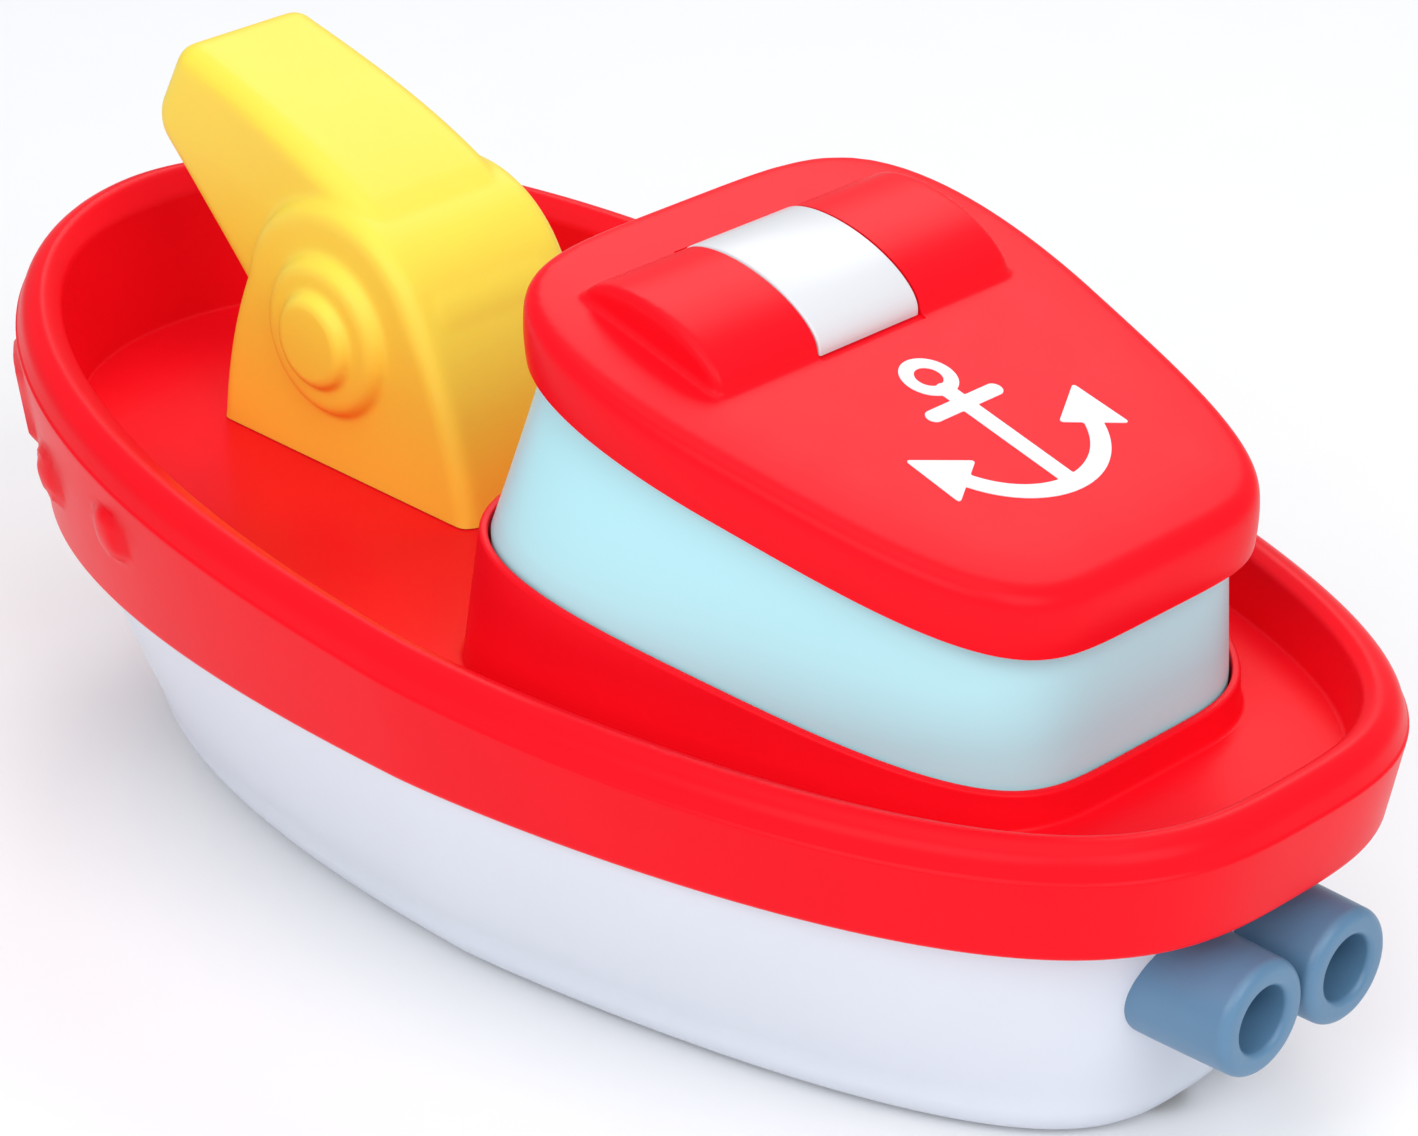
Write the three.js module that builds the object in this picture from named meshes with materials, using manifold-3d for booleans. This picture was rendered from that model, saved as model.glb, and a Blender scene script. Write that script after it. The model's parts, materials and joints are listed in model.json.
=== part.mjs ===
// Toy fireboat: hull, deck, press-down cabin that works a squirt pump, and a swivelling water cannon.
// Millimetres. +X points to the bow, +Y to port and +Z up; z = 0 is the flat bottom of the hull.
import * as THREE from 'three';
import { mergeVertices } from 'three/addons/utils/BufferGeometryUtils.js';
import Module from 'manifold-3d';

const wasm = await Module();
wasm.setup();

// ---------------------------------------------------------------- driving dimensions
const OUTLINE_POINTS = 36;
const WALL = 2.2;
const GAP = 0.3;

const DECK_Z = 44.2;
const DECK_UNDER_Z = DECK_Z - WALL;
const FLOOR_Z = 2.4;

// Plan outlines. Each is two half superellipses that meet at x = mid.
const RIM_OUTER = {
  stern: -110, bow: 110, mid: -8.7, half: 58.6, sternPowers: [1.48, 3.05], bowPowers: [2.83, 1.92],
};
const RIM_INNER = {
  stern: -104.1, bow: 103.1, mid: -7.6, half: 52.6, sternPowers: [1.33, 3.19], bowPowers: [2.2, 2.28],
};
const SKIRT_EDGE = {
  stern: -108, bow: 105.6, mid: -9.9, half: 56.6, sternPowers: [1.49, 3.02], bowPowers: [2.38, 2.22],
};
const HULL_TOP = {
  stern: -99.6, bow: 94.8, mid: -9.9, half: 55.4, sternPowers: [1.49, 3.02], bowPowers: [2.38, 2.22],
};
const HULL_FOOT = {
  stern: -94.6, bow: 91.5, mid: -5.3, half: 43.1, sternPowers: [1.24, 2.85], bowPowers: [2.38, 2.16],
};
const CABIN_FOOT = {
  stern: -83.3, bow: -0.9, mid: -42.1, half: 36, sternPowers: [3.3, 5.17], bowPowers: [2.7, 5.55], taper: 0.00618,
};
const WINDOW_HEAD = {
  stern: -82.6, bow: -4.9, mid: -44, half: 33.2, sternPowers: [3.3, 4.6], bowPowers: [2, 4.6], taper: 0.00533,
};
const ROOF_EDGE = {
  stern: -85.7, bow: -2.3, mid: -44, half: 35.8, sternPowers: [3.8, 5.1], bowPowers: [1.97, 4.5], taper: 0.00533,
};

// Heights that follow the sheer of the boat or the rake of the cabin.
const rimCreaseZ = (x) => 52.4 + 0.066 * x + 0.000364 * x * x;
const rimInnerZ = (x) => 54.7 + 0.057 * x + 0.000287 * x * x;
const skirtEdgeZ = (x) => 36.2 - 0.02 * x - 0.000116 * x * x;
const collarZ = (x) => 63.4 + 0.175 * x;
const ROOF_SLOPE = 0.249;
const roofEdgeZ = (x) => 88.4 + ROOF_SLOPE * x;

const BILGE_RADIUS = 6.9;
const ROOF_THICKNESS = 8.65;
const RIM_ROLL = 3;

// Low pads on the outside of both bows. Each has its place, the way it faces and its half sizes.
const BOW_PADS = [
  { x: 49, y: 52.1, z: 48, facing: 1.35, proud: 2, wide: 4, tall: 4 },
  { x: 71.5, y: 44.9, z: 46.3, facing: 1.13, proud: 2, wide: 4, tall: 4 },
  { x: 88, y: 35.2, z: 51.5, facing: 0.87, proud: 2.6, wide: 7, tall: 7 },
];

// The raised bar across the roof is half an ellipse in section, in the roof's own sloping frame.
const BAR = { x: -25.2, half: 26.4, reach: 12.26, rise: 5.1, insertHalf: 9, insertDepth: 1.6 };

const PIPE_Y = 8.07;
const PIPE_Z = 24.8;
const PIPE_RADIUS = 7.9;
const PIPE_TIP_RADIUS = 7.7;
const PIPE_BORE_RADIUS = 4.4;
const PIPE_END_X = -110.8;

const CANNON_X = 48.7;
const BOSS_Z = 64.5;
const CANNON_DISC_RADIUS = 18.7;
const FOOT_HALF = 14.5;
const FOOT_EDGE = 2.4;
const BARREL_HALF = 11.9;
const BARREL_EDGE = 2.8;
const MUZZLE = { x: 85.6, z: 90.4, pitch: 0.55 };

const PUMP_X = -44;
const PUMP_BORE_RADIUS = 13;
const PISTON_Z = 24;
const PORT_Z = 12.9;
const PUMP_SCREW_CIRCLE = 18.9;
const VALVE_X = -21.5;
const SPRING = { radius: 6.4, wire: 0.6, coils: 5, low: 39.8, high: 72.5 };

const HULL_SCREWS = [[-89.4, 0], [10, 34], [10, -34], [70, 22], [70, -22]];
const CABIN_SCREWS = [[-74, 21.3], [-74, -21.3], [-14, 34.5], [-14, -34.5]];
const PUMP_SCREW_ANGLES = [Math.PI / 3, Math.PI, (5 * Math.PI) / 3];
const CANNON_SCREWS = [[30, 8], [67, -8]];

// ---------------------------------------------------------------- outlines
// Points evenly spaced round a plan outline, anticlockwise from the bow.
function outline({ stern, bow, mid, half, sternPowers, bowPowers, taper = 0 }, offset = 0) {
  const dense = [];
  const samples = 1440;
  for (let i = 0; i < samples; i += 1) {
    const angle = (2 * Math.PI * i) / samples;
    const c = Math.cos(angle);
    const s = Math.sin(angle);
    const [p, q] = c > 0 ? bowPowers : sternPowers;
    const reach = c > 0 ? bow - mid : mid - stern;
    const x = mid + Math.sign(c) * reach * Math.abs(c) ** (2 / p);
    const y = half * (1 + taper * (x - mid)) * Math.sign(s) * Math.abs(s) ** (2 / q);
    dense.push(new THREE.Vector2(x, y));
  }
  return grow(evenly(dense, OUTLINE_POINTS), offset);
}

// Resamples a closed polygon to points that are evenly spaced along it.
function evenly(points, count) {
  const lengths = [0];
  points.forEach((point, i) => {
    const next = points[(i + 1) % points.length];
    lengths.push(lengths[i] + point.distanceTo(next));
  });
  const total = lengths[points.length];
  const result = [];
  let i = 0;
  for (let k = 0; k < count; k += 1) {
    const target = (total * k) / count;
    while (lengths[i + 1] < target) i += 1;
    const part = (target - lengths[i]) / (lengths[i + 1] - lengths[i]);
    result.push(points[i].clone().lerp(points[(i + 1) % points.length], part));
  }
  return result;
}

// Moves a closed anticlockwise outline outwards, or inwards when the distance is negative.
function grow(points, distance) {
  return points.map((point, i) => {
    const before = points[(i + points.length - 1) % points.length];
    const after = points[(i + 1) % points.length];
    const along = after.clone().sub(before).normalize();
    return new THREE.Vector2(point.x + along.y * distance, point.y - along.x * distance);
  });
}

// Lifts a plan outline to a height, which is a number or a function of x.
function ring(points, height) {
  return points.map(({ x, y }) => new THREE.Vector3(x, y, typeof height === 'function' ? height(x) : height));
}

function between(a, b, t) {
  return a.map((point, i) => point.clone().lerp(b[i], t));
}

// ---------------------------------------------------------------- solids
function solid(geometry) {
  const bare = geometry.clone();
  bare.deleteAttribute('normal');
  bare.deleteAttribute('uv');
  const merged = mergeVertices(bare, 1e-4);
  const triangles = Uint32Array.from(merged.index.array);
  const vertProperties = Float32Array.from(merged.attributes.position.array);
  return new wasm.Manifold(new wasm.Mesh({ numProp: 3, vertProperties, triVerts: triangles }));
}

// A closed solid through a stack of rings with equal numbers of points, listed from the bottom up.
function loft(rings) {
  const count = rings[0].length;
  const positions = rings.flat().flatMap(({ x, y, z }) => [x, y, z]);
  const centre = (points) => {
    const sum = points.reduce((total, point) => total.add(point), new THREE.Vector3());
    return sum.divideScalar(points.length);
  };
  const bottom = rings.length * count;
  const top = bottom + 1;
  for (const end of [rings[0], rings[rings.length - 1]]) {
    const point = centre(end);
    positions.push(point.x, point.y, point.z);
  }
  const indices = [];
  for (let i = 0; i < count; i += 1) {
    const next = (i + 1) % count;
    const last = (rings.length - 1) * count;
    indices.push(bottom, next, i, top, last + i, last + next);
    for (let level = 0; level < rings.length - 1; level += 1) {
      const low = level * count;
      const high = low + count;
      indices.push(low + i, low + next, high + i, low + next, high + next, high + i);
    }
  }
  const geometry = new THREE.BufferGeometry();
  geometry.setAttribute('position', new THREE.Float32BufferAttribute(positions, 3));
  geometry.setIndex(indices);
  return solid(geometry);
}

// A body turned about a vertical axis at (x, y), from a profile of [radius, z] pairs, bottom first.
function turned(profile, x, y, segments = 32) {
  const points = profile.map(([radius, z]) => new THREE.Vector2(radius, z));
  const geometry = new THREE.LatheGeometry(points, segments).rotateX(Math.PI / 2);
  return solid(geometry.translate(x, y, 0));
}

function rod(radius, low, high, x = 0, y = 0, segments = 20) {
  return turned([[0, low], [radius, low], [radius, high], [0, high]], x, y, segments);
}

// A tube with an open bore.
function sleeve(outer, inner, low, high, x = 0, y = 0, segments = 32) {
  return turned([[inner, low], [outer, low], [outer, high], [inner, high], [inner, low]], x, y, segments);
}

// Turns a solid that was made along Z so that it lies along a direction in the XZ plane, from a point.
function laidAlong(body, pitch, x, y, z) {
  const matrix = new THREE.Matrix4().makeTranslation(x, y, z);
  matrix.multiply(new THREE.Matrix4().makeRotationY(Math.PI / 2 - pitch));
  return body.transform(matrix.toArray());
}

// An XZ profile pushed out to both sides of the centre plane, with rounded long edges.
function sideProfile(shape, half, edge = 0) {
  const apart = (point, i, all) => point.distanceTo(all[(i + 1) % all.length]) > 0.05;
  const points = shape.getPoints(5).filter(apart);
  const sum = points.reduce((total, point) => total.add(point), new THREE.Vector2());
  const middle = sum.divideScalar(points.length);
  const rings = [];
  for (const degrees of edge > 0 ? [0, 45, 90] : [0]) {
    const angle = THREE.MathUtils.degToRad(degrees);
    const inset = edge * (1 - Math.sin(angle));
    const y = half - edge * (1 - Math.cos(angle));
    const drawnIn = points.map((point) => {
      const inwards = middle.clone().sub(point).setLength(inset);
      return point.clone().add(inwards);
    });
    rings.push({ y, drawnIn });
  }
  const layer = ({ y, drawnIn }, side) => drawnIn.map((point) => new THREE.Vector3(point.x, side * y, point.y));
  const near = rings.map((level) => layer(level, 1));
  const far = rings.map((level) => layer(level, -1));
  return loft([...near, ...far.reverse()]);
}

function box(width, depth, height, x, y, z) {
  return solid(new THREE.BoxGeometry(width, depth, height).translate(x, y, z));
}

function joined(bodies) {
  return bodies.reduce((total, body) => total.add(body));
}

function cut(body, tools) {
  return tools.reduce((total, tool) => total.subtract(tool), body);
}

function tube(curve, outer, inner, steps) {
  const shape = new THREE.Shape().absarc(0, 0, outer, 0, 2 * Math.PI);
  if (inner > 0) shape.holes.push(new THREE.Path().absarc(0, 0, inner, 0, 2 * Math.PI, true));
  return solid(new THREE.ExtrudeGeometry(shape, { steps, curveSegments: 5, extrudePath: curve }));
}

// ---------------------------------------------------------------- hull and deck
// Rings of the white hull from its floor to its top edge, grown by an offset: bilge, then flared sides.
function hullRings(offset, floorZ, topZ) {
  const foot = outline(HULL_FOOT, offset);
  const top = outline(HULL_TOP, offset);
  const bilge = [0, 45].map((degrees) => {
    const angle = THREE.MathUtils.degToRad(degrees);
    const inset = BILGE_RADIUS * (1 - Math.sin(angle));
    return ring(grow(foot, -inset), floorZ + (BILGE_RADIUS - floorZ) * (1 - Math.cos(angle)));
  });
  const sides = [0, 0.5].map((t) => {
    const flare = 1 - (1 - t) ** 1.3;
    return ring(between(foot, top, flare), (x) => BILGE_RADIUS + (topZ(x) - BILGE_RADIUS) * t);
  });
  return [...bilge, ...sides, ring(top, topZ)];
}

// The hull's top edge steps in to a lip that stands inside the red skirt.
function lowerHull() {
  const edge = (x) => skirtEdgeZ(x) - GAP;
  const lip = outline(HULL_TOP, -2.8);
  const mouth = outline(HULL_TOP, -4.6);
  const form = loft([...hullRings(0, 0, edge), ring(lip, edge), ring(lip, (x) => edge(x) + 5)]);
  const hollow = loft([...hullRings(-WALL, FLOOR_Z, (x) => edge(x) - 5), ring(mouth, (x) => edge(x) - 1),
    ring(mouth, (x) => edge(x) + 7)]);
  const bosses = HULL_SCREWS.map(([x, y]) => rod(4.6, FLOOR_Z - 1, 11.7, x, y, 12));
  const boreProfile = [[0, -1], [3.5, -1], [3.5, 6], [1.5, 6], [1.5, 13], [0, 13]];
  const bores = HULL_SCREWS.map(([x, y]) => turned(boreProfile, x, y, 10));
  const pumpBosses = pumpScrewPlaces().map(([x, y]) => rod(3.4, FLOOR_Z - 1, 7.7, x, y, 12));
  const pumpPilots = pumpScrewPlaces().map(([x, y]) => rod(1.15, 3.4, 9, x, y, 8));
  const inlet = rod(7.3, -1, FLOOR_Z + 1, PUMP_X, 0);
  const pipeHoles = [1, -1].map((side) => laidAlong(rod(6.3, 0, 20), 0, -105, side * PIPE_Y, PIPE_Z));
  const shell = joined([form.subtract(hollow), ...bosses, ...pumpBosses]).intersect(form);
  return cut(shell, [...bores, ...pumpPilots, inlet, ...pipeHoles]);
}

function pumpScrewPlaces() {
  return PUMP_SCREW_ANGLES.map((angle) => {
    const x = PUMP_X + PUMP_SCREW_CIRCLE * Math.cos(angle);
    return [x, PUMP_SCREW_CIRCLE * Math.sin(angle)];
  });
}

// The red moulding's outer form, from the skirt edge over the rolled rim.
function upperForm() {
  const rim = outline(RIM_OUTER);
  return loft([
    ring(outline(SKIRT_EDGE), skirtEdgeZ),
    ring(rim, rimCreaseZ),
    ring(grow(rim, -0.9), (x) => rimCreaseZ(x) + 0.7 * RIM_ROLL),
    ring(grow(rim, -2.8), (x) => rimCreaseZ(x) + RIM_ROLL),
    ring(grow(rim, -4.6), (x) => rimCreaseZ(x) + RIM_ROLL),
  ]);
}

function deckWell() {
  const inner = outline(RIM_INNER);
  return loft([
    ring(grow(inner, -1.2), DECK_Z),
    ring(grow(inner, -0.2), DECK_Z + 1.2),
    ring(inner, (x) => rimInnerZ(x) - 1.5),
    ring(grow(inner, 0.6), rimInnerZ),
    ring(grow(inner, 2), (x) => rimInnerZ(x) + 1.5),
    ring(grow(inner, 2), (x) => rimInnerZ(x) + 12),
  ]);
}

// The space under the deck and inside the double-walled bulwark.
function deckUnderside() {
  const rim = outline(RIM_OUTER, -WALL);
  const skirt = outline(SKIRT_EDGE, -WALL);
  const hollow = loft([ring(skirt, (x) => skirtEdgeZ(x) + 2), ring(rim, (x) => rimCreaseZ(x) - 1)]);
  const tub = loft([
    ring(outline(RIM_INNER, WALL - 1), DECK_UNDER_Z),
    ring(outline(RIM_INNER, WALL), DECK_Z),
    ring(outline(RIM_INNER, WALL), (x) => rimInnerZ(x) + 5),
  ]);
  return hollow.subtract(tub);
}

// The plinth round the cabin flares a little more where it is taller, towards the bow.
function plinth() {
  const foot = outline(CABIN_FOOT);
  const flare = (x) => 1.7 + 0.16 * (collarZ(x) - collarZ(CABIN_FOOT.stern));
  const flared = foot.map((point, i) => grow(foot, flare(point.x))[i]);
  return loft([
    ring(flared, DECK_Z - 1),
    ring(flared, DECK_Z),
    ring(grow(foot, 1.5), collarZ),
  ]);
}

function upperHull() {
  const flange = outline(HULL_TOP, -2.5);
  const lipHole = loft([ring(flange, 28), ring(flange, (x) => skirtEdgeZ(x) + 2.5)]);
  const around = outline(CABIN_FOOT, 0.4);
  const opening = loft([ring(around, DECK_UNDER_Z - 8), ring(around, 75)]);
  const posts = HULL_SCREWS.map(([x, y]) => rod(3.2, 12, DECK_UNDER_Z + 0.5, x, y, 10));
  const pilots = HULL_SCREWS.map(([x, y]) => rod(1.3, 11, 24, x, y, 8));
  const spindleGuide = sleeve(11.4, 9.3, 35, DECK_UNDER_Z + 0.5, CANNON_X, 0, 20);
  const spindleHole = rod(5.8, 30, DECK_Z + 2, CANNON_X, 0);
  const shell = cut(upperForm(), [deckWell(), deckUnderside(), lipHole]);
  const moulding = joined([shell, plinth(), ...posts, spindleGuide, ...bowDetails()]);
  return cut(moulding, [opening, ...pilots, spindleHole]);
}

function bowDetails() {
  return BOW_PADS.flatMap(({ x, y, z, facing, proud, wide, tall }) => [1, -1].map((side) => {
    const pad = new THREE.SphereGeometry(1, 12, 6).scale(proud, wide, tall);
    return solid(pad.rotateZ(side * facing).translate(x, side * y, z));
  }));
}

// ---------------------------------------------------------------- stern pipes
function sternPipe(side) {
  const reach = (x) => x - PIPE_END_X;
  const body = turned([[0, 0], [PIPE_TIP_RADIUS - 1.6, 0], [PIPE_TIP_RADIUS - 0.5, 0.5], [PIPE_TIP_RADIUS, 1.7],
    [PIPE_RADIUS, reach(-98)], [PIPE_RADIUS, reach(-94)], [0, reach(-94)]], 0, 0, 24);
  const stub = rod(6, 5, reach(-93.6), 0, 0, 24);
  const bore = turned([[0, -1], [PIPE_BORE_RADIUS + 0.9, -1], [PIPE_BORE_RADIUS + 0.9, 0],
    [PIPE_BORE_RADIUS, 1], [PIPE_BORE_RADIUS, 13], [0, 13]], 0, 0, 24);
  const place = (piece) => laidAlong(piece, 0, PIPE_END_X, side * PIPE_Y, PIPE_Z);
  const seated = place(body).subtract(loft(hullRings(GAP, -GAP, skirtEdgeZ)));
  return cut(joined([seated, place(stub)]), [place(bore)]);
}

// ---------------------------------------------------------------- cabin
function cabinWindow() {
  const levels = (offset, low, high) => [
    ring(outline(CABIN_FOOT, offset), DECK_UNDER_Z + low),
    ring(outline(CABIN_FOOT, offset), collarZ),
    ring(outline(WINDOW_HEAD, offset), roofEdgeZ),
    ring(outline(WINDOW_HEAD, offset), (x) => roofEdgeZ(x) + 5.5 + high),
  ];
  const shell = loft(levels(0, 0, 0)).subtract(loft(levels(-2, -1, 1)));
  const bosses = CABIN_SCREWS.map(([x, y]) => rod(3, DECK_UNDER_Z, DECK_UNDER_Z + 12, x, y, 12));
  const pilots = CABIN_SCREWS.map(([x, y]) => rod(1.2, DECK_UNDER_Z - 1, DECK_UNDER_Z + 11, x, y, 8));
  return cut(joined([shell, ...bosses]), pilots);
}

// The flange screwed under the cabin wall; it catches under the deck and stops the cabin coming out.
function cabinBaseFrame() {
  const top = DECK_UNDER_Z - GAP;
  const low = top - 1.8;
  const plate = loft([ring(outline(CABIN_FOOT, 2.2), low), ring(outline(CABIN_FOOT, 2.2), top)]);
  const middle = loft([ring(outline(CABIN_FOOT, -8.5), low - 1), ring(outline(CABIN_FOOT, -8.5), top + 1)]);
  return cut(plate, [middle, ...CABIN_SCREWS.map(([x, y]) => rod(1.5, low - 1, top + 1, x, y, 8))]);
}

// The bar's section, drawn out on all sides by a spread and closed off at a base height.
function barShape(spread, base) {
  const reach = BAR.reach + spread;
  const shape = new THREE.Shape().moveTo(-reach, base).lineTo(reach, base).lineTo(reach, 0);
  return shape.absellipse(0, 0, reach, BAR.rise + spread, 0, Math.PI);
}

function onRoof(body) {
  const matrix = new THREE.Matrix4().makeTranslation(BAR.x, 0, roofEdgeZ(BAR.x) + ROOF_THICKNESS);
  matrix.multiply(new THREE.Matrix4().makeRotationY(-Math.atan(ROOF_SLOPE)));
  return body.transform(matrix.toArray());
}

function cabinRoof() {
  const edge = outline(ROOF_EDGE);
  const above = (rise) => (x) => roofEdgeZ(x) + rise;
  const form = loft([
    ring(grow(edge, -0.9), roofEdgeZ),
    ring(grow(edge, -0.2), above(1.6)),
    ring(edge, above(4.4)),
    ring(grow(edge, -0.9), above(6.9)),
    ring(grow(edge, -2.6), above(8.3)),
    ring(grow(edge, -5), above(ROOF_THICKNESS)),
  ]);
  const hollow = loft([ring(outline(ROOF_EDGE, -WALL), above(-2)), ring(outline(ROOF_EDGE, -WALL), above(6.2))]);
  const bar = onRoof(sideProfile(barShape(0, -4), BAR.half));
  const seat = sideProfile(barShape(-BAR.insertDepth - GAP, -4), BAR.insertHalf + 2);
  const recess = onRoof(sideProfile(barShape(1, -GAP), BAR.insertHalf + GAP).subtract(seat));
  const rodSocket = rod(7.6, 73.5, roofEdgeZ(PUMP_X) + 7, PUMP_X, 0);
  const rodHole = rod(3.3, 72, 81, PUMP_X, 0);
  return cut(joined([form.subtract(hollow), bar, rodSocket]), [recess, rodHole]);
}

function roofLight() {
  const under = sideProfile(barShape(-BAR.insertDepth, -4), BAR.insertHalf + 2);
  return onRoof(sideProfile(barShape(0, -0.05), BAR.insertHalf).subtract(under));
}

// ---------------------------------------------------------------- pump
function pumpCylinder() {
  const wall = turned([[0, FLOOR_Z + GAP], [15, FLOOR_Z + GAP], [15, 36], [PUMP_BORE_RADIUS, 36],
    [PUMP_BORE_RADIUS, 4.7], [0, 4.7]], PUMP_X, 0, 28);
  const flange = sleeve(22, 14, 8, 10.2, PUMP_X, 0, 28);
  const spout = laidAlong(rod(2.4, 13.5, 26, 0, 0, 20), 0, PUMP_X, 0, PORT_Z);
  const port = laidAlong(rod(1.2, 8, 27, 0, 0, 16), 0, PUMP_X, 0, PORT_Z);
  const inlets = [0, 1, 2, 3, 4, 5].map((i) => {
    const angle = (i * Math.PI) / 3;
    return rod(1.1, 1, 6, PUMP_X + 4 * Math.cos(angle), 4 * Math.sin(angle), 8);
  });
  const stemHole = rod(1.4, 1, 6, PUMP_X, 0, 16);
  const screwHoles = pumpScrewPlaces().map(([x, y]) => rod(1.4, 7, 11, x, y, 8));
  return cut(joined([wall, flange, spout]), [port, stemHole, ...inlets, ...screwHoles]);
}

function pumpPiston() {
  return turned([[0, PISTON_Z], [12.7, PISTON_Z], [12.7, PISTON_Z + 2.2], [10.4, PISTON_Z + 2.2],
    [10.4, PISTON_Z + 4.8], [12.7, PISTON_Z + 4.8], [12.7, PISTON_Z + 7], [6, PISTON_Z + 7],
    [6, PISTON_Z + 10], [3.3, PISTON_Z + 10], [3.3, PISTON_Z + 3], [0, PISTON_Z + 3]], PUMP_X, 0, 24);
}

class Helix extends THREE.Curve {
  getPoint(t) {
    const angle = 2 * Math.PI * SPRING.coils * t;
    const z = SPRING.low + (SPRING.high - SPRING.low) * t;
    return new THREE.Vector3(PUMP_X + SPRING.radius * Math.cos(angle), SPRING.radius * Math.sin(angle), z);
  }
}

function returnSpring() {
  const shape = new THREE.Shape().absarc(0, 0, SPRING.wire, 0, 2 * Math.PI);
  const settings = { steps: SPRING.coils * 10, curveSegments: 3, extrudePath: new Helix() };
  return solid(new THREE.ExtrudeGeometry(shape, settings));
}

// A soft flap on a stem; it opens inwards when the pump draws water.
function inletValve() {
  const profile = [[0, 2.5], [1.1, 2.5], [1.1, 5], [5.6, 5], [5.4, 5.8], [0, 6.2]];
  return turned(profile, PUMP_X, 0, 28);
}

function inletStrainer() {
  const holes = [[0, 0]];
  for (let i = 0; i < 6; i += 1) {
    const angle = (i * Math.PI) / 3;
    holes.push([4 * Math.cos(angle), 4 * Math.sin(angle)]);
  }
  return cut(rod(7, 0.4, 2.2, PUMP_X, 0, 20), holes.map(([x, y]) => rod(1.2, 0, 3, PUMP_X + x, y, 8)));
}

function valveBody() {
  const length = 15;
  const profile = [[1.2, 4.6], [1.2, 5], [3, 5], [3, 10.5], [1.2, 10.5], [1.2, length + 5], [2.4, length + 5],
    [2.4, 12], [4.3, 12], [4.3, 0], [2.7, 0], [2.7, 4.6], [1.2, 4.6]].reverse();
  return laidAlong(turned(profile, 0, 0, 16), 0, VALVE_X, 0, PORT_Z);
}

function valveDuckbill() {
  const bill = turned([[0.9, 0], [2.7, 0], [2.7, 1.2], [1.8, 1.4], [0.9, 4.6], [0.5, 4.6], [0.9, 0]], 0, 0, 20);
  return laidAlong(bill, 0, VALVE_X + 5.3, 0, PORT_Z);
}

function outletHose() {
  const start = VALVE_X + 13;
  const path = new THREE.CurvePath();
  const bend = 14;
  const bendStart = new THREE.Vector3(CANNON_X - bend, 0, PORT_Z);
  const corner = new THREE.Vector3(CANNON_X, 0, PORT_Z);
  const bendEnd = new THREE.Vector3(CANNON_X, 0, PORT_Z + bend);
  path.add(new THREE.LineCurve3(new THREE.Vector3(start, 0, PORT_Z), bendStart));
  path.add(new THREE.QuadraticBezierCurve3(bendStart, corner, bendEnd));
  path.add(new THREE.LineCurve3(bendEnd, new THREE.Vector3(CANNON_X, 0, 29.6)));
  return tube(path, 3.8, 2.7, 14);
}

// ---------------------------------------------------------------- cannon
// Side view of the foot: flared cheeks under a round top that is centred on the boss.
function pedestalShape(inset) {
  const radius = CANNON_DISC_RADIUS - inset;
  const shape = new THREE.Shape().moveTo(20.9 + inset, DECK_Z + 0.4).lineTo(73.7 - inset, DECK_Z + 0.4);
  shape.quadraticCurveTo(72.6 - inset, 56, CANNON_X + radius * 0.985, BOSS_Z + radius * 0.17);
  shape.absarc(CANNON_X, BOSS_Z, radius, 0.171, 2.62, false);
  return shape.quadraticCurveTo(24 + inset, 60, 20.9 + inset, DECK_Z + 0.4);
}

// Side view of the barrel: its top runs up to the muzzle, its underside runs down to the foot.
function barrelShape() {
  const shape = new THREE.Shape().moveTo(34, 62).lineTo(60, 58).lineTo(67.4, 61.7).lineTo(87.4, 80.8);
  shape.quadraticCurveTo(89.7, 83.2, 88.4, 86.9).lineTo(85, 93.2).quadraticCurveTo(83.2, 97, 80, 95.7);
  return shape.quadraticCurveTo(59, 90.9, 45, 84).quadraticCurveTo(28.5, 75.6, 28.8, 67);
}

function cannonBody() {
  const boss = turned([[0, 0], [11.4, 0], [11.2, 1.6], [10.2, 2.6], [8.6, 3], [6.8, 3.1], [6.7, 3.7],
    [6.1, 4.6], [4.9, 4.9], [0, 4.9]], 0, 0, 20);
  const bosses = [1, -1].map((side) => {
    const matrix = new THREE.Matrix4().makeTranslation(CANNON_X, side * (FOOT_HALF - 0.6), BOSS_Z);
    matrix.multiply(new THREE.Matrix4().makeRotationX((-side * Math.PI) / 2));
    return boss.transform(matrix.toArray());
  });
  const foot = sideProfile(pedestalShape(0), FOOT_HALF, FOOT_EDGE);
  const barrel = sideProfile(barrelShape(), BARREL_HALF, BARREL_EDGE);
  const form = joined([foot, barrel, ...bosses]);
  const hollow = sideProfile(pedestalShape(WALL), FOOT_HALF - WALL);
  const mouth = box(49, 2 * (FOOT_HALF - WALL), 4, 47.3, 0, DECK_Z + 1);
  const posts = CANNON_SCREWS.map(([x, y]) => rod(3, DECK_Z + 4.4, DECK_Z + 16, x, y, 10));
  const pilots = CANNON_SCREWS.map(([x, y]) => rod(1.2, DECK_Z + 2, DECK_Z + 13, x, y, 8));
  const channel = tube(nozzlePath(), 3.5, 0, 8);
  const bore = laidAlong(rod(3.4, -16, 3, 0, 0, 16), MUZZLE.pitch, MUZZLE.x, 0, MUZZLE.z);
  const recess = laidAlong(rod(5, -1.8, 3, 0, 0, 20), MUZZLE.pitch, MUZZLE.x, 0, MUZZLE.z);
  const ribs = CANNON_SCREWS.map(([x, y]) => box(2, 4, 11, x, y + Math.sign(y) * 2.8, DECK_Z + 10.2));
  return cut(joined([cut(form, [hollow, mouth]), ...posts, ...ribs]), [...pilots, channel, bore, recess]);
}

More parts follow.
